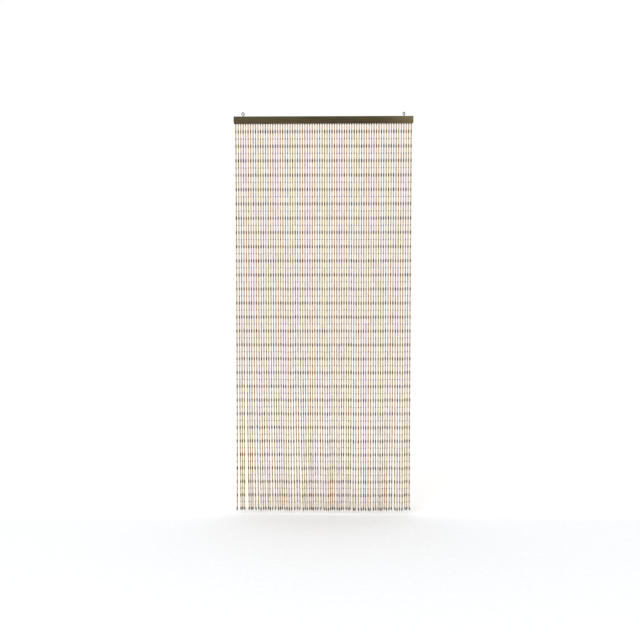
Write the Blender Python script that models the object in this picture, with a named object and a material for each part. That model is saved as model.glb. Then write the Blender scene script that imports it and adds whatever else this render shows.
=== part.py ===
# A bead curtain: strings of beads hung close together from a wooden top rail with two screw eyes.
# Metres, +Z up. The origin is the hanging point, midway between the eyes at the inner top of
# their rings. The curtain hangs in the XZ plane and its front faces -Y.
import math

import bmesh
import bpy
import numpy as np

# Screw eyes: a ring of round wire on a short neck, with its shank in the rail.
EYE_WIRE = 0.0040
EYE_RING_OUTER = 0.0180
EYE_NECK = 0.0036
EYE_SHANK = 0.0130
EYE_POINT = 0.0040
EYE_INSET = 0.0470
EYE_TURNS = {"eye_left": math.radians(34), "eye_right": math.radians(44)}

# Top rail: a wooden batten with softened edges and a groove in its underside.
RAIL_LENGTH = 0.9000
RAIL_HEIGHT = 0.0350
RAIL_DEPTH = 0.0160
RAIL_EDGE = 0.0012
RAIL_CORNERS = {"top_left": 0.0020, "lower_left": 0.0030, "lower_right": 0.0050, "top_right": 0.0020}

# Root strip: lies in the rail's groove and carries every string.
STRIP_DEPTH = 0.0064
STRIP_HEIGHT = 0.0042
STRIP_END = 0.0020
STRIP_RECESS = 0.0005
CLEARANCE = 0.0003

# Strings of beads
STRAND_COUNT = 72
STRAND_PITCH = 0.0124
STRAND_WIDTH = 0.0058
REPEAT = 0.0718
REPEATS = 28
FIRST_DROP = 0.0398

# Hem bead: the long dark bead that ends each string, as rings of (distance below its
# centre, width). It tilts where its neighbours leave it room.
HEM_BEAD_RINGS = ((-0.0095, 0.0044), (-0.0052, 0.0068), (0.0010, 0.0074), (0.0062, 0.0062), (0.0094, 0.0030))
HEM_BEAD_WIDTH = 0.0074
HEM_BEAD_HALF = 0.0094
HEM_TILT_SHIFT = 0.0036
HEM_SLACK = 0.0024
HEM_ROOM = 0.0006

# Hang: the strings spread a little towards the hem, where they part and pair up.
# The hem gaps are counted in pitches. The first six, from the left, follow the real curtain.
FLARE_LEFT = 0.0110
FLARE_RIGHT = 0.0070
FLARE_POWER = 1.5
HEM_GAPS_LEFT = (1.5, 0.75, 0.75, 2.0, 0.8, 0.8)
HEM_GAP_RANGE = (0.76, 1.30)
PAIRING_POWER = 4
SWAY_DEPTH = 0.0035
SWAY_LEVELS = (0.002, 0.25, 0.5, 0.68, 0.80, 0.89, 0.955)
HANG_SEED = 7

# Heights, from the hanging point down
RING_RADIUS = (EYE_RING_OUTER - EYE_WIRE) / 2
RING_CENTRE_Z = EYE_WIRE / 2 - RING_RADIUS
RAIL_TOP_Z = RING_CENTRE_Z - EYE_RING_OUTER / 2 - EYE_NECK
RAIL_UNDER_Z = RAIL_TOP_Z - RAIL_HEIGHT
STRIP_UNDER_Z = RAIL_UNDER_Z + STRIP_RECESS
HEM_Z = RAIL_UNDER_Z - FIRST_DROP - (REPEATS - 1) * REPEAT
EYE_X = RAIL_LENGTH / 2 - EYE_INSET
TOP_SPAN = (STRAND_COUNT - 1) * STRAND_PITCH

WOOD = ("rail_wood", (0.065, 0.049, 0.021), 0.50, 0.0)
STEEL = ("eye_steel", (0.10, 0.10, 0.097), 0.40, 1.0)
BEADS = ("pale_bead", (0.63, 0.48, 0.28), 0.50, 0.0)


def clear_scene():
    for obj in list(bpy.data.objects):
        bpy.data.objects.remove(obj, do_unlink=True)


def material(name, colour, roughness, metallic):
    made = bpy.data.materials.new(name)
    made.use_nodes = True
    shader = made.node_tree.nodes["Principled BSDF"]
    shader.inputs["Base Color"].default_value = (*colour, 1.0)
    shader.inputs["Roughness"].default_value = roughness
    shader.inputs["Metallic"].default_value = metallic
    return made


def add_object(name, mesh, made_of=None):
    obj = bpy.data.objects.new(name, mesh)
    bpy.context.scene.collection.objects.link(obj)
    if made_of is not None:
        mesh.materials.append(made_of)
    return obj


def mesh_from(bm, name):
    bmesh.ops.recalc_face_normals(bm, faces=bm.faces)
    mesh = bpy.data.meshes.new(name)
    bm.to_mesh(mesh)
    bm.free()
    return mesh


def use_as_cutter(obj):
    obj.hide_render = True
    obj.display_type = "WIRE"


def boolean(target, tool, operation):
    modifier = target.modifiers.new(operation.lower(), "BOOLEAN")
    modifier.operation = operation
    modifier.solver = "EXACT"
    modifier.object = tool


def corner_arc(centre_x, centre_z, radius, start, steps=5):
    angles = [start + math.pi / 2 * step / steps for step in range(steps + 1)]
    return [(centre_x + radius * math.cos(a), centre_z + radius * math.sin(a)) for a in angles]


def rail_outline():
    """Front outline of the rail, anticlockwise from its top right corner."""
    half = RAIL_LENGTH / 2
    places = (("top_right", 1, 1), ("top_left", -1, 1), ("lower_left", -1, -1), ("lower_right", 1, -1))
    outline = []
    for turn, (corner, side, level) in enumerate(places):
        radius = RAIL_CORNERS[corner]
        edge_z = RAIL_TOP_Z if level > 0 else RAIL_UNDER_Z
        outline += corner_arc(side * (half - radius), edge_z - level * radius, radius, turn * math.pi / 2)
    return outline


def box_cutter(name, size, centre):
    bm = bmesh.new()
    bmesh.ops.create_cube(bm, size=1.0)
    bmesh.ops.scale(bm, vec=size, verts=bm.verts)
    cutter = add_object(name, mesh_from(bm, name))
    cutter.location = centre
    use_as_cutter(cutter)
    return cutter


def pilot_cutter(name, x):
    """Blind hole for an eye's shank."""
    depth = EYE_SHANK + 2 * CLEARANCE
    bm = bmesh.new()
    bmesh.ops.create_cone(bm, cap_ends=True, segments=24, depth=2 * depth,
                          radius1=EYE_WIRE / 2 + CLEARANCE, radius2=EYE_WIRE / 2 + CLEARANCE)
    cutter = add_object(name, mesh_from(bm, name))
    cutter.location = (x, 0, RAIL_TOP_Z)
    use_as_cutter(cutter)
    return cutter


def build_rail():
    bm = bmesh.new()
    front = [bm.verts.new((x, -RAIL_DEPTH / 2, z)) for x, z in rail_outline()]
    face = bm.faces.new(front)
    grown = bmesh.ops.extrude_face_region(bm, geom=[face])
    back = [item for item in grown["geom"] if isinstance(item, bmesh.types.BMVert)]
    bmesh.ops.translate(bm, vec=(0, RAIL_DEPTH, 0), verts=back)
    rail = add_object("rail", mesh_from(bm, "rail"), material(*WOOD))
    bevel = rail.modifiers.new("soft_edges", "BEVEL")
    bevel.width = RAIL_EDGE
    bevel.segments = 2
    bevel.limit_method = "ANGLE"
    bevel.angle_limit = math.radians(60)
    groove_size = (TOP_SPAN + STRAND_WIDTH + 2 * STRIP_END + 2 * CLEARANCE,
                   STRIP_DEPTH + 2 * CLEARANCE,
                   2 * (STRIP_RECESS + STRIP_HEIGHT + CLEARANCE))
    boolean(rail, box_cutter("groove_cutter", groove_size, (0, 0, RAIL_UNDER_Z)), "DIFFERENCE")
    for name, side in (("pilot_cutter_left", -1), ("pilot_cutter_right", 1)):
        boolean(rail, pilot_cutter(name, side * EYE_X), "DIFFERENCE")
    return rail


def shank_mesh():
    """Neck, shank and point of a screw eye, turned about Z. It starts inside the ring's wire."""
    radius = EYE_WIRE / 2
    ring_bottom = RING_CENTRE_Z - RING_RADIUS
    tip_z = RAIL_TOP_Z - EYE_SHANK
    profile = ((0, ring_bottom), (radius, ring_bottom), (radius, tip_z + EYE_POINT), (0, tip_z))
    bm = bmesh.new()
    verts = [bm.verts.new((x, 0, z)) for x, z in profile]
    edges = [bm.edges.new(pair) for pair in zip(verts, verts[1:])]
    bmesh.ops.spin(bm, geom=verts + edges, cent=(0, 0, 0), axis=(0, 0, 1),
                   angle=2 * math.pi, steps=16, use_duplicate=False)
    bmesh.ops.remove_doubles(bm, verts=bm.verts, dist=0.00001)
    return mesh_from(bm, "shank")


def build_eye(name, x):
    bpy.ops.mesh.primitive_torus_add(major_radius=RING_RADIUS, minor_radius=EYE_WIRE / 2,
                                     major_segments=36, minor_segments=12,
                                     location=(x, 0, RING_CENTRE_Z),
                                     rotation=(math.pi / 2, 0, EYE_TURNS[name]))
    eye = bpy.context.object
    eye.name = name
    eye.data.name = name
    eye.data.materials.append(material(*STEEL))
    shank = add_object(name + "_shank_guide", shank_mesh())
    shank.location = (x, 0, 0)
    use_as_cutter(shank)
    boolean(eye, shank, "UNION")
    eye.data.shade_smooth()
    return eye


def hem_gaps(random):
    """Gaps between neighbouring strings at the hem, in metres, from the left."""
    loose = random.uniform(*HEM_GAP_RANGE, STRAND_COUNT - 1 - len(HEM_GAPS_LEFT))
    hem_span = TOP_SPAN + FLARE_LEFT + FLARE_RIGHT
    left = np.array(HEM_GAPS_LEFT) * STRAND_PITCH
    loose *= (hem_span - left.sum()) / loose.sum()
    return np.concatenate([left, loose])


def hang_strands():
    """How each string hangs: its place under the rail and at the hem, sway, tilt and slack."""
    random = np.random.default_rng(HANG_SEED)
    gaps = hem_gaps(random)
    top_x = (np.arange(STRAND_COUNT) - (STRAND_COUNT - 1) / 2) * STRAND_PITCH
    hem_x = top_x[0] - FLARE_LEFT + np.concatenate([[0.0], np.cumsum(gaps)])
    flare = np.linspace(-FLARE_LEFT, FLARE_RIGHT, STRAND_COUNT)
    beside = np.minimum(np.append(gaps, gaps[-1]), np.insert(gaps, 0, gaps[0]))
    room = np.clip(beside - HEM_BEAD_WIDTH - HEM_ROOM, 0, None)
    tilt = random.uniform(-1, 1, STRAND_COUNT) * np.minimum(HEM_TILT_SHIFT, room)
    slack = random.uniform(-1, 1, STRAND_COUNT) * HEM_SLACK
    sway = random.uniform(-1, 1, STRAND_COUNT) * SWAY_DEPTH
    return {"top_x": top_x, "hem_x": hem_x, "flare": flare, "tilt": tilt, "slack": slack, "sway": sway}


def strand_centre(hang, index, level):
    """Centre of a string at a level from 0 under the strip to 1 at the middle of its hem bead."""
    top_x = hang["top_x"][index]
    flare = hang["flare"][index]
    pairing = hang["hem_x"][index] - top_x - flare
    x = top_x + flare * level ** FLARE_POWER + pairing * level ** PAIRING_POWER
    y = hang["sway"][index] * level ** 2
    z = STRIP_UNDER_Z + (HEM_Z + hang["slack"][index] - STRIP_UNDER_Z) * level
    return x, y, z


def square_ring(bm, centre, width, depth):
    x, y, z = centre
    corners = ((-1, -1), (1, -1), (1, 1), (-1, 1))
    return [bm.verts.new((x + side * width / 2, y + front * depth / 2, z)) for side, front in corners]


def bridge(bm, upper, lower):
    for corner in range(4):
        after = (corner + 1) % 4
        bm.faces.new((upper[corner], upper[after], lower[after], lower[corner]))


def add_strand(bm, hang, index, root):
    """One four-sided string, from its cell in the strip down to the tip of its hem bead."""
    ring = root
    for level in SWAY_LEVELS:
        lower = square_ring(bm, strand_centre(hang, index, level), STRAND_WIDTH, STRAND_WIDTH)
        bridge(bm, ring, lower)
        ring = lower
    x, y, z = strand_centre(hang, index, 1.0)
    for drop, width in HEM_BEAD_RINGS:
        shift = hang["tilt"][index] * (drop + HEM_BEAD_HALF) / (2 * HEM_BEAD_HALF)
        lower = square_ring(bm, (x + shift, y, z - drop), width, width)
        bridge(bm, ring, lower)
        ring = lower
    bm.faces.new(ring)


def strip_edges(hang):
    """Where the strip's cells begin and end, along X: every second cell carries a string."""
    half = STRAND_WIDTH / 2
    edges = [hang["top_x"][0] - half - STRIP_END]
    for x in hang["top_x"]:
        edges += [x - half, x + half]
    edges.append(hang["top_x"][-1] + half + STRIP_END)
    return edges


def build_strands():
    """The root strip as a row of cells, with a string grown from every second one."""
    hang = hang_strands()
    bm = bmesh.new()
    upper_z = STRIP_UNDER_Z + STRIP_HEIGHT
    columns = []
    for x in strip_edges(hang):
        corners = ((-1, STRIP_UNDER_Z), (1, STRIP_UNDER_Z), (1, upper_z), (-1, upper_z))
        columns.append([bm.verts.new((x, side * STRIP_DEPTH / 2, z)) for side, z in corners])
    bm.faces.new(columns[0])
    bm.faces.new(columns[-1])
    for cell, (left, right) in enumerate(zip(columns, columns[1:])):
        for corner in range(1, 4):
            after = (corner + 1) % 4
            bm.faces.new((left[corner], left[after], right[after], right[corner]))
        root = [left[0], right[0], right[1], left[1]]
        if cell % 2:
            add_strand(bm, hang, cell // 2, root)
        else:
            bm.faces.new(root)
    return add_object("strands", mesh_from(bm, "strands"), material(*BEADS))


clear_scene()
build_rail()
build_eye("eye_left", -EYE_X)
build_eye("eye_right", EYE_X)
build_strands()
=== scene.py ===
# Looks of a bead curtain on its top rail: turned beads, bamboo tubes, thread, stained wood, steel.
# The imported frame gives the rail. The strings of beads hang here as they do in the part's own
# model, on the same sizes and the same seeded draws, and the screw eyes keep its sizes too.
import math

import bmesh
import bpy
import numpy as np
from mathutils import Matrix, Vector


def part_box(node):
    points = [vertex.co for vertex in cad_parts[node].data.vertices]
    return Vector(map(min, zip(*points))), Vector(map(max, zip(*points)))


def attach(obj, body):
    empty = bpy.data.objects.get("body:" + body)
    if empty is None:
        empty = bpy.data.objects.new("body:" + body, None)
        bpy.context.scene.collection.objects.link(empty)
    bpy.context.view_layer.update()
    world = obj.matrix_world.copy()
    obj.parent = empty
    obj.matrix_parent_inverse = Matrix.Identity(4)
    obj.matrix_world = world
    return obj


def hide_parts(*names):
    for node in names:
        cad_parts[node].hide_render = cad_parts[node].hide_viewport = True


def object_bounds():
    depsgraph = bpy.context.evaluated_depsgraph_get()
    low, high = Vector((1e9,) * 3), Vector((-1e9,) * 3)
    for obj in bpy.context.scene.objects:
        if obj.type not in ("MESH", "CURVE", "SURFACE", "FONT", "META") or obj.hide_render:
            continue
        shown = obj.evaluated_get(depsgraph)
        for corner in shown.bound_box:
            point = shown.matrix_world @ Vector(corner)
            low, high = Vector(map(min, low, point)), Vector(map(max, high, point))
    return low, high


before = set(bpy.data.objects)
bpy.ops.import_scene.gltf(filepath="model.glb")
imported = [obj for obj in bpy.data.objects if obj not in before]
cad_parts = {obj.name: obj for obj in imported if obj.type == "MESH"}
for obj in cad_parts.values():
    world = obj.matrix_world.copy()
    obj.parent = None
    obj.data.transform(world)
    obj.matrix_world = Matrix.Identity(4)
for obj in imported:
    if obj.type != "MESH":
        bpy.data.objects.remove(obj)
cad_low, cad_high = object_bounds()
rail_low, rail_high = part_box("rail")

# Strings, as in the part's own model
STRAND_COUNT = 72
STRAND_PITCH = 0.0124
REPEAT = 0.0718
REPEATS = 28
FIRST_DROP = 0.0398
STRIP_DEPTH = 0.0064
STRIP_HEIGHT = 0.0042
STRIP_RECESS = 0.0005

# Hang of the strings, as in the part's own model
HEM_BEAD_WIDTH = 0.0074
HEM_BEAD_HALF = 0.0094
HEM_TILT_SHIFT = 0.0036
HEM_SLACK = 0.0024
HEM_ROOM = 0.0006
FLARE_LEFT = 0.0110
FLARE_RIGHT = 0.0070
FLARE_POWER = 1.5
HEM_GAPS_LEFT = (1.5, 0.75, 0.75, 2.0, 0.8, 0.8)
HEM_GAP_RANGE = (0.76, 1.30)
PAIRING_POWER = 4
SWAY_DEPTH = 0.0035
HANG_SEED = 7

# Heights, from the frame down
RAIL_TOP_Z = rail_high.z
RAIL_UNDER_Z = rail_low.z
STRIP_UNDER_Z = RAIL_UNDER_Z + STRIP_RECESS
HEM_Z = RAIL_UNDER_Z - FIRST_DROP - (REPEATS - 1) * REPEAT
TOP_SPAN = (STRAND_COUNT - 1) * STRAND_PITCH

# Beads: half lengths and widest radii
DARK_HALF = 0.0096
DARK_RADIUS = 0.0037
SMALL_HALF = 0.0036
SMALL_RADIUS = 0.0034
TUBE_RADIUS = 0.0029
KNOT_HALF = 0.0011
KNOT_RADIUS = 0.0015
BEAD_GAP = 0.0003

# Turned shapes, from the lower end up, as (height, radius) in shares of those sizes
OVAL_PROFILE = ((-1.0, 0.50), (-0.87, 0.78), (-0.50, 0.96), (0.0, 1.0),
                (0.50, 0.96), (0.87, 0.78), (1.0, 0.50))
DROP_PROFILE = ((-1.0, 0.41), (-0.88, 0.62), (-0.55, 0.88), (-0.10, 1.0),
                (0.30, 0.97), (0.70, 0.80), (1.0, 0.50))
BALL_PROFILE = ((-1.0, 0.45), (-0.84, 0.66), (-0.48, 0.91), (0.0, 1.0),
                (0.48, 0.91), (0.84, 0.66), (1.0, 0.45))
TUBE_PROFILE = ((-1.0, 0.84), (-0.965, 0.98), (0.965, 0.98), (1.0, 0.84))
KNOT_PROFILE = ((-1.0, 0.35), (-0.5, 0.95), (0.1, 0.80), (0.5, 1.0), (1.0, 0.40))
BEAD_SIDES = 11
TUBE_SIDES = 10
KNOT_SIDES = 7
SHARP_ANGLE = math.radians(38)

# Each copy's cell of the map, in shares of it: the side lies between the two ends' discs
MAP_MARGIN = 0.05
MAP_SIDE_LOW = 0.14
MAP_DISC_RADIUS = 0.05
MAP_DISC_LOW = 0.07

# Pieces that the strings' beads and threads are split into, from the left
THIRDS = ("left", "middle", "right")

# Chance differences between beads, as standard deviations, and the widest change of radius
LEAN = 0.024
OFF_CENTRE = 0.00012
LENGTH_SPREAD = 0.012
RADIUS_SPREAD = 0.045
RADIUS_LIMIT = 0.1
FLATNESS = 0.018
TAPER = 0.012
LOOKS_SEED = 21

# Thread that carries the beads, its tail below the end knot, and its holes in the root strip
THREAD_RADIUS = 0.00055
THREAD_SIDES = 6
THREAD_STEPS = 24
TAIL = 0.0035
HOLE_RADIUS = 0.0009
HOLE_DEPTH = 0.0030
THREAD_REACH = 0.9 * HOLE_DEPTH
WELD_DISTANCE = 0.00001

# Screw eyes: wire bent round from the neck, ending beside it
EYE_WIRE = 0.0040
EYE_RING_OUTER = 0.0180
EYE_INSET = 0.0470
EYE_TURNS = {"eye_left": math.radians(34), "eye_right": math.radians(44)}
EYE_LEAVE = math.radians(28)
EYE_OPEN = math.radians(31)
EYE_SUNK = 0.0040
EYE_END_TAPER = (0.98, 0.90, 0.62)
EYE_SIDES = 16

# Bend from neck to ring: how far below the ring it starts, and how far its two guides reach
EYE_NECK_DROP = 0.0010
EYE_BEND_RISE = 0.0004
EYE_BEND_PULL = 0.0018
EYE_NECK_STEPS = 4
EYE_BEND_STEPS = 6
EYE_RING_STEPS = 44

# Eye sizes and places worked out from these
RING_RADIUS = (EYE_RING_OUTER - EYE_WIRE) / 2
RING_CENTRE_Z = EYE_WIRE / 2 - RING_RADIUS
EYE_X = rail_high.x - EYE_INSET

# Stain of the beads, as a share of each colour
PLAIN_STAIN = (1.0, 1.0, 1.0)
HEM_STAIN = (0.57, 0.65, 0.86)

# Painted sheen at both ends of the rail, lighter as if the satin finish caught the lamps: where it starts
# and is full along X, and how strong it gets
SHEEN_RIGHT = (0.28, 0.44, 0.29)
SHEEN_LEFT = (-0.10, -0.36, 0.05)
SHEEN_COLOUR = (0.36, 0.31, 0.18, 1.0)

# Painted shade: the rail turns browner and darker from this far below its top to this far above its
# underside
SHADE_STARTS = 0.010
SHADE_FULL = 0.006

# Camera, fitted to the rail and the rows of dark beads in a square picture
PICTURE = 640
FOCAL_PX = 704.6
SENSOR_MM = 36.0
CAMERA_PLACE = (0.0309, -3.600, -0.7572)
CAMERA_YAW = math.radians(-0.774)
CAMERA_PITCH = math.radians(4.506)
CAMERA_ROLL = math.radians(-0.053)

# Stage. A lamp has a name, a place, watts and a width.
FLOOR_DROP = 0.018
FLOOR_REACH = 6.0
FLOOR_FADE = (-0.10, 0.16)
LAMPS = (("key", (-1.6, -2.6, 1.3), 30.0, 1.6), ("fill", (2.2, -2.4, -0.6), 8.0, 2.2))
LAMP_AIM = (0.0, 0.0, -0.8)


def hem_gaps(random):
    """Gaps between neighbouring strings at the hem, in metres, from the left."""
    loose = random.uniform(*HEM_GAP_RANGE, STRAND_COUNT - 1 - len(HEM_GAPS_LEFT))
    hem_span = TOP_SPAN + FLARE_LEFT + FLARE_RIGHT
    left = np.array(HEM_GAPS_LEFT) * STRAND_PITCH
    loose *= (hem_span - left.sum()) / loose.sum()
    return np.concatenate([left, loose])


def hang_strands():
    """How each string hangs: its place under the rail and at the hem, sway, tilt and slack."""
    random = np.random.default_rng(HANG_SEED)
    gaps = hem_gaps(random)
    top_x = (np.arange(STRAND_COUNT) - (STRAND_COUNT - 1) / 2) * STRAND_PITCH
    hem_x = top_x[0] - FLARE_LEFT + np.concatenate([[0.0], np.cumsum(gaps)])
    flare = np.linspace(-FLARE_LEFT, FLARE_RIGHT, STRAND_COUNT)
    beside = np.minimum(np.append(gaps, gaps[-1]), np.insert(gaps, 0, gaps[0]))
    room = np.clip(beside - HEM_BEAD_WIDTH - HEM_ROOM, 0, None)
    tilt = random.uniform(-1, 1, STRAND_COUNT) * np.minimum(HEM_TILT_SHIFT, room)
    slack = random.uniform(-1, 1, STRAND_COUNT) * HEM_SLACK
    sway = random.uniform(-1, 1, STRAND_COUNT) * SWAY_DEPTH
    return {"top_x": top_x, "hem_x": hem_x, "flare": flare, "tilt": tilt, "slack": slack, "sway": sway}


def strand_points(hang, strands, heights):
    """Points of these strings, as strings by heights by xyz. The heights are those of a string
    with no slack."""
    level = (STRIP_UNDER_Z - np.asarray(heights)) / (STRIP_UNDER_Z - HEM_Z)
    keys = ("top_x", "hem_x", "flare", "slack", "sway")
    top_x, hem_x, flare, slack, sway = (hang[key][strands][:, None] for key in keys)
    reach = np.clip(level, 0, None)
    x = top_x + flare * reach ** FLARE_POWER + (hem_x - top_x - flare) * reach ** PAIRING_POWER
    y = sway * reach ** 2
    z = STRIP_UNDER_Z + (HEM_Z + slack - STRIP_UNDER_Z) * level
    return np.stack(np.broadcast_arrays(x, y, z), axis=-1)


def ring_angles(sides):
    return 2 * np.pi * np.arange(sides) / sides


def stacked_rings(rings, sides):
    """Faces of a closed stack of rings, and a place in the unit square for each face's corners."""
    faces = []
    places = []
    for ring in range(rings - 1):
        low, high = (MAP_SIDE_LOW + (1 - 2 * MAP_SIDE_LOW) * (ring + step) / (rings - 1)
                     for step in (0, 1))
        for side in range(sides):
            after = (side + 1) % sides
            faces.append((ring * sides + side, ring * sides + after,
                          (ring + 1) * sides + after, (ring + 1) * sides + side))
            left, right = (MAP_MARGIN + (1 - 2 * MAP_MARGIN) * (side + step) / sides
                           for step in (0, 1))
            places += [(left, low), (right, low), (right, high), (left, high)]
    for ring, middle, order in ((0, MAP_DISC_LOW, -1), (rings - 1, 1 - MAP_DISC_LOW, 1)):
        corners = np.arange(sides)[::order]
        faces.append(tuple(ring * sides + corners))
        turns = ring_angles(sides)[corners]
        places += list(zip(0.5 + MAP_DISC_RADIUS * np.cos(turns),
                           middle + MAP_DISC_RADIUS * np.sin(turns)))
    return faces, np.array(places)


def mesh_of_copies(name, points, faces, places):
    """One mesh of many copies of a form. points is copies by points by xyz, and every copy has
    its own cell of the map."""
    copies, each = points.shape[:2]
    sizes = np.array([len(face) for face in faces])
    corners = np.concatenate([np.array(face) for face in faces])
    vertices = (np.arange(copies)[:, None] * each + corners).ravel()
    starts = np.concatenate([[0], np.cumsum(np.tile(sizes, copies))[:-1]])
    mesh = bpy.data.meshes.new(name)
    mesh.vertices.add(copies * each)
    mesh.vertices.foreach_set("co", points.astype(np.float32).ravel())
    mesh.loops.add(len(vertices))
    mesh.loops.foreach_set("vertex_index", vertices.astype(np.int32))
    mesh.polygons.add(len(starts))
    mesh.polygons.foreach_set("loop_start", starts.astype(np.int32))
    mesh.update(calc_edges=True)
    cells = math.ceil(math.sqrt(copies))
    cell = np.stack([np.arange(copies) % cells, np.arange(copies) // cells], axis=1)
    uv = (cell[:, None, :] + places[None]) / cells
    mesh.uv_layers.new(name="OFBake").uv.foreach_set("vector", uv.astype(np.float32).ravel())
    mesh.shade_smooth()
    return mesh


def add_piece(name, mesh, made_of, replaced):
    piece = bpy.data.objects.new(name, mesh)
    bpy.context.scene.collection.objects.link(piece)
    mesh.materials.append(made_of)
    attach(piece, "root")
    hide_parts(replaced)


def turned_points(profile, sides):
    """Points of a turned form of half length 1 and radius 1 about Z."""
    angles = ring_angles(sides)
    return np.array([(radius * math.cos(a), radius * math.sin(a), height)
                     for height, radius in profile for a in angles])


def square_to(axes, spin):
    """Two unit vectors square to each axis and to each other, turned about it by the spin."""
    first = np.cross(axes, np.stack([np.sin(spin), np.cos(spin), 0 * spin], axis=1))
    first /= np.linalg.norm(first, axis=1, keepdims=True)
    return first, np.cross(axes, first)


def set_attribute(mesh, name, kind, values):
    field = "vector" if kind == "FLOAT_VECTOR" else "value"
    mesh.attributes.new(name, kind, "POINT").data.foreach_set(field, values.astype(np.float32).ravel())


def set_beads(name, profile, sides, beads, made_of):
    """A piece of many turned beads. Each has a centre, axis, half length, radius, tint and spin."""
    count = len(beads["centre"])
    random = np.random.default_rng(LOOKS_SEED + len(name))
    first, second = square_to(beads["axis"], beads["spin"])
    shape = turned_points(profile, sides)
    flat = 1 + random.normal(0, FLATNESS, count)[:, None]
    taper = 1 + random.normal(0, TAPER, count)[:, None] * shape[:, 2]
    radius = beads["radius"][:, None] * taper
    side = radius * flat * shape[:, 0]
    front = radius / flat * shape[:, 1]
    along = beads["half"][:, None] * shape[:, 2]
    points = (beads["centre"][:, None, :] + side[..., None] * first[:, None, :]
              + front[..., None] * second[:, None, :] + along[..., None] * beads["axis"][:, None, :])
    mesh = mesh_of_copies(name, points, *stacked_rings(len(profile), sides))
    mesh.set_sharp_from_angle(angle=SHARP_ANGLE)
    grain = np.stack([side, front, along], axis=-1) + random.uniform(0, 1, (count, 1, 3))
    set_attribute(mesh, "grain", "FLOAT_VECTOR", grain)
    set_attribute(mesh, "end", "FLOAT", np.tile(np.abs(shape[:, 2]), count))
    set_attribute(mesh, "tint", "FLOAT", np.repeat(beads["tint"], len(shape)))
    add_piece(name, mesh, made_of, "strands")


def bead_heights():
    """Heights of the middles of every kind of bead on one string, and the tubes' half length."""
    dark = RAIL_UNDER_Z - FIRST_DROP - REPEAT * np.arange(REPEATS)
    small = dark + REPEAT / 2
    room = REPEAT / 2 - DARK_HALF - SMALL_HALF
    above = dark + DARK_HALF + room / 2
    below = dark[:-1] - DARK_HALF - room / 2
    return {"dark": dark[:-1], "hem": dark[-1:], "small": small, "tube": np.concatenate([above, below]),
            "tube_half": room / 2 - BEAD_GAP / 2}


def lay_beads(hang, strands, heights, half, radius, random):
    """Beads of one kind on these strings, each a little different from the next."""
    upper = strand_points(hang, strands, np.asarray(heights) + half)
    lower = strand_points(hang, strands, np.asarray(heights) - half)
    axis = (upper - lower).reshape(-1, 3)
    count = len(axis)
    axis[:, :2] += random.normal(0, LEAN, (count, 2)) * half
    axis /= np.linalg.norm(axis, axis=1, keepdims=True)
    centre = strand_points(hang, strands, heights).reshape(-1, 3)
    centre += random.normal(0, OFF_CENTRE, (count, 3))
    shortening = np.abs(random.normal(0, LENGTH_SPREAD, count))
    widening = np.clip(random.normal(0, RADIUS_SPREAD, count), -RADIUS_LIMIT, RADIUS_LIMIT)
    return {"centre": centre,
            "axis": axis,
            "half": half * (1 - shortening),
            "radius": radius * (1 + widening),
            "spin": random.uniform(0, 2 * np.pi, count),
            "tint": random.uniform(0, 1, count)}


def tilt_hem(beads, lean):
    """Leans each hem bead from its upper end, as in the part's own model."""
    beads["centre"][:, 0] += lean / 2
    beads["axis"] = np.stack([-lean, 0 * lean, 0 * lean + 2 * HEM_BEAD_HALF], axis=1)
    beads["axis"] /= np.linalg.norm(beads["axis"], axis=1, keepdims=True)
    beads["radius"][:] = HEM_BEAD_WIDTH / 2


def knots_under(beads):
    """The end knot below each hem bead, on the bead's axis."""
    count = len(beads["half"])
    return {**beads,
            "centre": beads["centre"] - beads["axis"] * (HEM_BEAD_HALF + KNOT_HALF),
            "half": np.full(count, KNOT_HALF),
            "radius": np.full(count, KNOT_RADIUS)}


def add_threads(name, hang, strands, knots, made_of):
    """Threads from the root strip through every bead to a short tail below the knot."""
    down = knots["axis"] + np.array([0.0, 0.0, 1.0])
    down /= np.linalg.norm(down, axis=1, keepdims=True)
    ends = np.stack([knots["centre"] - down * TAIL, knots["centre"]], axis=1)
    rises = np.linspace(HEM_Z + HEM_BEAD_HALF, STRIP_UNDER_Z + THREAD_REACH, THREAD_STEPS)
    paths = np.concatenate([ends, strand_points(hang, strands, rises)], axis=1)
    angles = ring_angles(THREAD_SIDES)
    ring = np.stack([np.cos(angles), np.sin(angles), 0 * angles], axis=1) * THREAD_RADIUS
    points = (paths[:, :, None, :] + ring).reshape(len(paths), -1, 3)
    mesh = mesh_of_copies(name, points, *stacked_rings(paths.shape[1], THREAD_SIDES))
    add_piece(name, mesh, made_of, "strands")


def build_strings(made_of):
    """Every bead and thread, a third of the strings to a piece."""
    hang = hang_strands()
    heights = bead_heights()
    random = np.random.default_rng(LOOKS_SEED)
    for third, strands in zip(THIRDS, np.array_split(np.arange(STRAND_COUNT), len(THIRDS))):
        dark = lay_beads(hang, strands, heights["dark"], DARK_HALF, DARK_RADIUS, random)
        set_beads("dark_beads_" + third, OVAL_PROFILE, BEAD_SIDES, dark, made_of["dark"])
        small = lay_beads(hang, strands, heights["small"], SMALL_HALF, SMALL_RADIUS, random)
        set_beads("small_beads_" + third, BALL_PROFILE, BEAD_SIDES, small, made_of["dark"])
        tubes = lay_beads(hang, strands, heights["tube"], heights["tube_half"], TUBE_RADIUS, random)
        set_beads("pale_tubes_" + third, TUBE_PROFILE, TUBE_SIDES, tubes, made_of["pale"])
        hem = lay_beads(hang, strands, heights["hem"], HEM_BEAD_HALF, HEM_BEAD_WIDTH / 2, random)
        tilt_hem(hem, hang["tilt"][strands])
        set_beads("hem_beads_" + third, DROP_PROFILE, BEAD_SIDES, hem, made_of["hem"])
        knots = knots_under(hem)
        set_beads("knots_" + third, KNOT_PROFILE, KNOT_SIDES, knots, made_of["thread"])
        add_threads("threads_" + third, hang, strands, knots, made_of["thread"])


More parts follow.
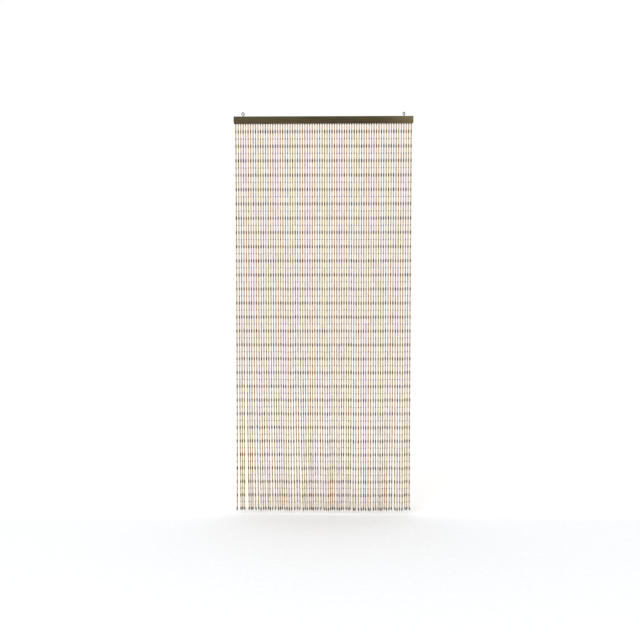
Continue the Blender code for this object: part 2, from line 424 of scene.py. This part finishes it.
def add_drilled_patch(bm, x):
    """The strip's underside at one string, with the drilled hole in its middle."""
    corners = ((1, 0), (1, 1), (0, 1), (-1, 1), (-1, 0), (-1, -1), (0, -1), (1, -1))
    rim = [(a * STRAND_PITCH / 2, b * STRIP_DEPTH / 2) for a, b in corners]
    hole = [(HOLE_RADIUS * math.cos(a), HOLE_RADIUS * math.sin(a)) for a in ring_angles(len(rim))]
    loops = ((rim, STRIP_UNDER_Z), (hole, STRIP_UNDER_Z), (hole, STRIP_UNDER_Z + HOLE_DEPTH))
    outer, mouth, inner = ([bm.verts.new((x + a, b, z)) for a, b in loop] for loop, z in loops)
    for side in range(len(rim)):
        after = (side + 1) % len(rim)
        bm.faces.new((outer[after], outer[side], mouth[side], mouth[after]))
        bm.faces.new((mouth[after], mouth[side], inner[side], inner[after]))
    bm.faces.new(inner[::-1])


def build_root_strip(made_of):
    """The strip in the rail's groove, with a drilled hole for every thread."""
    bm = bmesh.new()
    for strand in range(STRAND_COUNT):
        add_drilled_patch(bm, (strand - (STRAND_COUNT - 1) / 2) * STRAND_PITCH)
    bmesh.ops.remove_doubles(bm, verts=bm.verts, dist=WELD_DISTANCE)
    border = [edge for edge in bm.edges if edge.is_boundary]
    grown = bmesh.ops.extrude_edge_only(bm, edges=border)
    raised = [item for item in grown["geom"] if isinstance(item, bmesh.types.BMVert)]
    bmesh.ops.translate(bm, vec=(0, 0, STRIP_HEIGHT), verts=raised)
    bmesh.ops.holes_fill(bm, edges=[edge for edge in bm.edges if edge.is_boundary], sides=0)
    bmesh.ops.recalc_face_normals(bm, faces=bm.faces)
    mesh = bpy.data.meshes.new("root_strip")
    bm.to_mesh(mesh)
    bm.free()
    add_piece("root_strip", mesh, made_of, "strands")


def curve_between(start, guide_one, guide_two, end, steps):
    """Points of a smooth curve between two places, both left out."""
    t = np.linspace(0, 1, steps + 2)[1:-1, None]
    shares = ((1 - t) ** 3, 3 * t * (1 - t) ** 2, 3 * t * t * (1 - t), t ** 3)
    return sum(share * np.array(point) for share, point in zip(shares, (start, guide_one, guide_two, end)))


def eye_path():
    """Centre line of an eye's wire in its own plane: up the neck, round the ring, back beside it."""
    bottom_z = RING_CENTRE_Z - RING_RADIUS
    neck_top = (0.0, bottom_z - EYE_NECK_DROP)
    neck = [(0.0, z) for z in np.linspace(RAIL_TOP_Z - EYE_SUNK, neck_top[1], EYE_NECK_STEPS)]
    turns = np.linspace(EYE_LEAVE, 2 * math.pi - EYE_OPEN, EYE_RING_STEPS)
    ring = np.stack([RING_RADIUS * np.sin(turns), RING_CENTRE_Z - RING_RADIUS * np.cos(turns)], axis=1)
    towards = ring[0] - EYE_BEND_PULL * np.array([math.cos(EYE_LEAVE), math.sin(EYE_LEAVE)])
    bend = curve_between(neck_top, (0.0, bottom_z + EYE_BEND_RISE), towards, ring[0], EYE_BEND_STEPS)
    return np.concatenate([neck, bend, ring])


def build_eye(name, x, made_of):
    """A screw eye swept from round wire with a rounded end."""
    path = eye_path()
    along = np.gradient(path, axis=0)
    along /= np.linalg.norm(along, axis=1, keepdims=True)
    out = np.stack([along[:, 1], -along[:, 0]], axis=1)
    radii = np.full((len(path), 1), EYE_WIRE / 2)
    radii[-len(EYE_END_TAPER):, 0] *= EYE_END_TAPER
    turn = EYE_TURNS[name]
    angles = ring_angles(EYE_SIDES)
    in_plane = path[:, None, :] + (radii * np.cos(angles))[..., None] * out[:, None, :]
    depth = radii * np.sin(angles)
    points = np.stack([x + in_plane[..., 0] * math.cos(turn) - depth * math.sin(turn),
                       in_plane[..., 0] * math.sin(turn) + depth * math.cos(turn),
                       in_plane[..., 1]], axis=-1)
    mesh = mesh_of_copies(name + "_wire", points.reshape(1, -1, 3), *stacked_rings(len(path), EYE_SIDES))
    add_piece(name + "_wire", mesh, made_of, name)


class Nodes:
    """A short way to write a node material."""

    def __init__(self, name):
        self.material = bpy.data.materials.new(name)
        self.material.use_nodes = True
        self.tree = self.material.node_tree
        self.shader = self.tree.nodes["Principled BSDF"]

    def add(self, kind, inputs, **settings):
        node = self.tree.nodes.new(kind)
        for key, value in settings.items():
            setattr(node, key, value)
        for key, value in inputs.items():
            self.put(node.inputs[key], value)
        return node

    def put(self, socket, value):
        if isinstance(value, bpy.types.NodeSocket):
            self.tree.links.new(value, socket)
        else:
            socket.default_value = value

    def place(self):
        return self.add("ShaderNodeTexCoord", {}).outputs["Object"]

    def attribute(self, name, output="Fac"):
        return self.add("ShaderNodeAttribute", {}, attribute_name=name).outputs[output]

    def ramp(self, factor, *stops):
        node = self.add("ShaderNodeValToRGB", {"Fac": factor})
        ramp = node.color_ramp
        while len(ramp.elements) < len(stops):
            ramp.elements.new(0.5)
        for element, (place, colour) in zip(ramp.elements, stops):
            element.position = place
            element.color = (*colour, 1.0)
        return node.outputs["Color"]

    def noise(self, vector, scale, detail, stretch=(1, 1, 1)):
        mapped = self.add("ShaderNodeMapping", {"Vector": vector, "Scale": stretch}).outputs["Vector"]
        node = self.add("ShaderNodeTexNoise", {"Vector": mapped, "Scale": scale, "Detail": detail})
        return node.outputs["Fac"]

    def math(self, operation, *values):
        node = self.add("ShaderNodeMath", dict(enumerate(values)), operation=operation)
        return node.outputs["Value"]

    def span(self, value, start, end):
        """0 to 1 as the value goes from start to end."""
        node = self.add("ShaderNodeMapRange", {"Value": value, "From Min": start, "From Max": end})
        return node.outputs["Result"]

    def blend(self, factor, first, second):
        node = self.add("ShaderNodeMixRGB", {"Fac": factor, "Color1": first, "Color2": second})
        return node.outputs["Color"]

    def times(self, first, *others):
        for other in others:
            inputs = {"Fac": 1.0, "Color1": first, "Color2": other}
            first = self.add("ShaderNodeMixRGB", inputs, blend_type="MULTIPLY").outputs["Color"]
        return first

    def bump(self, height, strength, distance):
        node = self.add("ShaderNodeBump", {"Height": height, "Strength": strength, "Distance": distance})
        self.put(self.shader.inputs["Normal"], node.outputs["Normal"])

    def finish(self, **inputs):
        for key, value in inputs.items():
            self.put(self.shader.inputs[key.replace("_", " ")], value)
        return self.material


def pale_material():
    """Bamboo tube: straw to tan from tube to tube, with fine fibres along it and duller cut ends."""
    nodes = Nodes("pale_bead")
    grain = nodes.attribute("grain", "Vector")
    tone = nodes.ramp(nodes.attribute("tint"), (0.0, (0.50, 0.35, 0.19)), (0.25, (0.58, 0.43, 0.24)),
                      (0.75, (0.68, 0.52, 0.31)), (1.0, (0.75, 0.60, 0.39)))
    fibre = nodes.noise(grain, 1500, 4, (1, 1, 0.05))
    cloud = nodes.noise(grain, 160, 2, (1, 1, 0.5))
    streaks = nodes.ramp(fibre, (0.32, (0.80, 0.76, 0.70)), (0.55, (1.0, 1.0, 1.0)),
                         (0.75, (1.06, 1.05, 1.03)))
    patches = nodes.ramp(cloud, (0.35, (0.90, 0.87, 0.82)), (0.60, (1.04, 1.04, 1.04)))
    ends = nodes.ramp(nodes.attribute("end"), (0.955, (1.0, 1.0, 1.0)), (0.985, (0.62, 0.55, 0.46)))
    nodes.bump(fibre, 0.5, 0.0002)
    return nodes.finish(Base_Color=nodes.times(tone, streaks, patches, ends),
                        Roughness=nodes.math("MULTIPLY_ADD", fibre, 0.25, 0.38), Specular_IOR_Level=0.25)


def dark_material(name, stain):
    """Turned wooden bead, stained brown, its ends rubbed lighter."""
    nodes = Nodes(name)
    grain = nodes.attribute("grain", "Vector")
    tone = nodes.ramp(nodes.attribute("tint"), (0.0, (0.135, 0.070, 0.018)), (0.5, (0.215, 0.125, 0.036)),
                      (1.0, (0.310, 0.195, 0.066)))
    lines = nodes.noise(grain, 900, 4, (1, 1, 0.10))
    streaks = nodes.ramp(lines, (0.35, (0.62, 0.58, 0.54)), (0.60, (1.12, 1.12, 1.12)))
    ends = nodes.ramp(nodes.attribute("end"), (0.70, (1.0, 1.0, 1.0)), (0.95, (1.45, 1.40, 1.30)))
    nodes.bump(lines, 0.4, 0.0002)
    return nodes.finish(Base_Color=nodes.times(tone, streaks, ends, (*stain, 1.0)),
                        Roughness=nodes.math("MULTIPLY_ADD", lines, 0.25, 0.36), Specular_IOR_Level=0.12)


def thread_material():
    """Pale twisted thread."""
    nodes = Nodes("thread")
    twist = nodes.add("ShaderNodeTexWave", {"Vector": nodes.place(), "Scale": 420.0, "Distortion": 1.5},
                      bands_direction="DIAGONAL").outputs["Fac"]
    nodes.bump(twist, 0.6, 0.0002)
    colour = nodes.ramp(twist, (0.2, (0.50, 0.45, 0.36)), (0.7, (0.74, 0.69, 0.58)))
    return nodes.finish(Base_Color=colour, Roughness=0.7)


def rail_material():
    """Stained wood: long grain, darker pores, painted shade that turns it browner below, both ends painted
    lighter as a sheen, satin.
    """
    nodes = Nodes("rail_wood")
    place = nodes.place()
    grain = nodes.noise(place, 260, 6, (0.035, 1, 1))
    pores = nodes.noise(place, 1400, 3, (0.02, 1, 1))
    broad = nodes.noise(place, 30, 3, (0.12, 1, 1))
    base = nodes.ramp(grain, (0.30, (0.035, 0.026, 0.008)), (0.50, (0.055, 0.041, 0.014)),
                      (0.72, (0.083, 0.064, 0.025)))
    tone = nodes.ramp(broad, (0.35, (0.80, 0.80, 0.84)), (0.65, (1.15, 1.12, 1.05)))
    specks = nodes.ramp(pores, (0.33, (0.55, 0.52, 0.50)), (0.46, (1.0, 1.0, 1.0)))
    axes = nodes.add("ShaderNodeSeparateXYZ", {"Vector": place}).outputs
    # Painted shade: darker and browner towards the rail's underside
    depth = nodes.span(axes["Z"], RAIL_TOP_Z - SHADE_STARTS, RAIL_UNDER_Z + SHADE_FULL)
    lower = nodes.ramp(depth, (0.0, (1.0, 1.0, 1.0)), (1.0, (0.98, 0.80, 0.55)))
    # Painted sheen: both ends of the rail are blended towards a lighter colour
    right, left = (nodes.math("MULTIPLY", nodes.span(axes["X"], start, full), strength)
                   for start, full, strength in (SHEEN_RIGHT, SHEEN_LEFT))
    with_sheen = nodes.blend(nodes.math("ADD", right, left), nodes.times(base, tone, specks), SHEEN_COLOUR)
    nodes.bump(nodes.math("ADD", grain, pores), 0.35, 0.0004)
    return nodes.finish(Base_Color=nodes.times(with_sheen, lower),
                        Roughness=nodes.math("MULTIPLY_ADD", grain, 0.25, 0.40), Specular_IOR_Level=0.25)


def steel_material():
    """Dull dark zinc on steel wire."""
    nodes = Nodes("eye_steel")
    place = nodes.place()
    cloud = nodes.noise(place, 700, 4)
    colour = nodes.ramp(cloud, (0.35, (0.040, 0.040, 0.039)), (0.65, (0.095, 0.095, 0.091)))
    nodes.bump(nodes.noise(place, 2600, 2), 0.2, 0.0001)
    return nodes.finish(Base_Color=colour, Roughness=nodes.math("MULTIPLY_ADD", cloud, 0.35, 0.22),
                        Metallic=1.0)


def floor_material():
    """Near-white floor that turns white behind the curtain."""
    nodes = Nodes("floor")
    place = nodes.place()
    depth = nodes.add("ShaderNodeSeparateXYZ", {"Vector": place}).outputs["Y"]
    near = nodes.ramp(nodes.noise(place, 40, 3), (0.3, (0.855, 0.868, 0.885)),
                      (0.7, (0.885, 0.898, 0.915)))
    behind = nodes.span(depth, *FLOOR_FADE)
    return nodes.finish(Base_Color=nodes.blend(behind, near, (1.0, 1.0, 1.0, 1.0)), Roughness=0.9)


def build_floor():
    bm = bmesh.new()
    bmesh.ops.create_grid(bm, x_segments=1, y_segments=1, size=FLOOR_REACH)
    mesh = bpy.data.meshes.new("floor")
    bm.to_mesh(mesh)
    bm.free()
    mesh.materials.append(floor_material())
    floor = bpy.data.objects.new("floor", mesh)
    floor.location = (0, 0, cad_low.z - FLOOR_DROP)
    bpy.context.scene.collection.objects.link(floor)


def build_light():
    """A white sky all round and two soft lamps in front."""
    world = bpy.data.worlds.new("studio")
    world.use_nodes = True
    world.node_tree.nodes["Background"].inputs["Color"].default_value = (1.0, 1.0, 1.0, 1.0)
    bpy.context.scene.world = world
    for name, place, power, size in LAMPS:
        light = bpy.data.lights.new(name, "AREA")
        light.energy = power
        light.shape = "DISK"
        light.size = size
        lamp = bpy.data.objects.new(name, light)
        lamp.location = place
        lamp.rotation_euler = (Vector(LAMP_AIM) - Vector(place)).to_track_quat("-Z", "Y").to_euler()
        bpy.context.scene.collection.objects.link(lamp)


def build_camera():
    data = bpy.data.cameras.new("camera")
    data.sensor_width = SENSOR_MM
    data.lens = SENSOR_MM * FOCAL_PX / PICTURE
    camera = bpy.data.objects.new("camera", data)
    forward = Vector((math.sin(CAMERA_YAW) * math.cos(CAMERA_PITCH),
                      math.cos(CAMERA_YAW) * math.cos(CAMERA_PITCH), -math.sin(CAMERA_PITCH)))
    level = Vector((math.cos(CAMERA_YAW), -math.sin(CAMERA_YAW), 0.0))
    right = level * math.cos(CAMERA_ROLL) + level.cross(forward) * math.sin(CAMERA_ROLL)
    turn = Matrix((right, right.cross(forward), -forward)).transposed()
    camera.matrix_world = Matrix.Translation(CAMERA_PLACE) @ turn.to_4x4()
    bpy.context.scene.collection.objects.link(camera)
    bpy.context.scene.camera = camera


def repaint(node, made_of):
    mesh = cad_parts[node].data
    mesh.materials.clear()
    mesh.materials.append(made_of)


# Plain display colours keep the white sky white and the thin strings in front of it clear
bpy.context.scene.view_settings.view_transform = "Standard"
build_camera()
build_light()
build_floor()
materials = {"pale": pale_material(), "thread": thread_material(),
             "dark": dark_material("dark_bead", PLAIN_STAIN),
             "hem": dark_material("hem_bead", HEM_STAIN)}
wood = rail_material()
steel = steel_material()
repaint("rail", wood)
build_root_strip(wood)
build_eye("eye_left", -EYE_X, steel)
build_eye("eye_right", EYE_X, steel)
build_strings(materials)
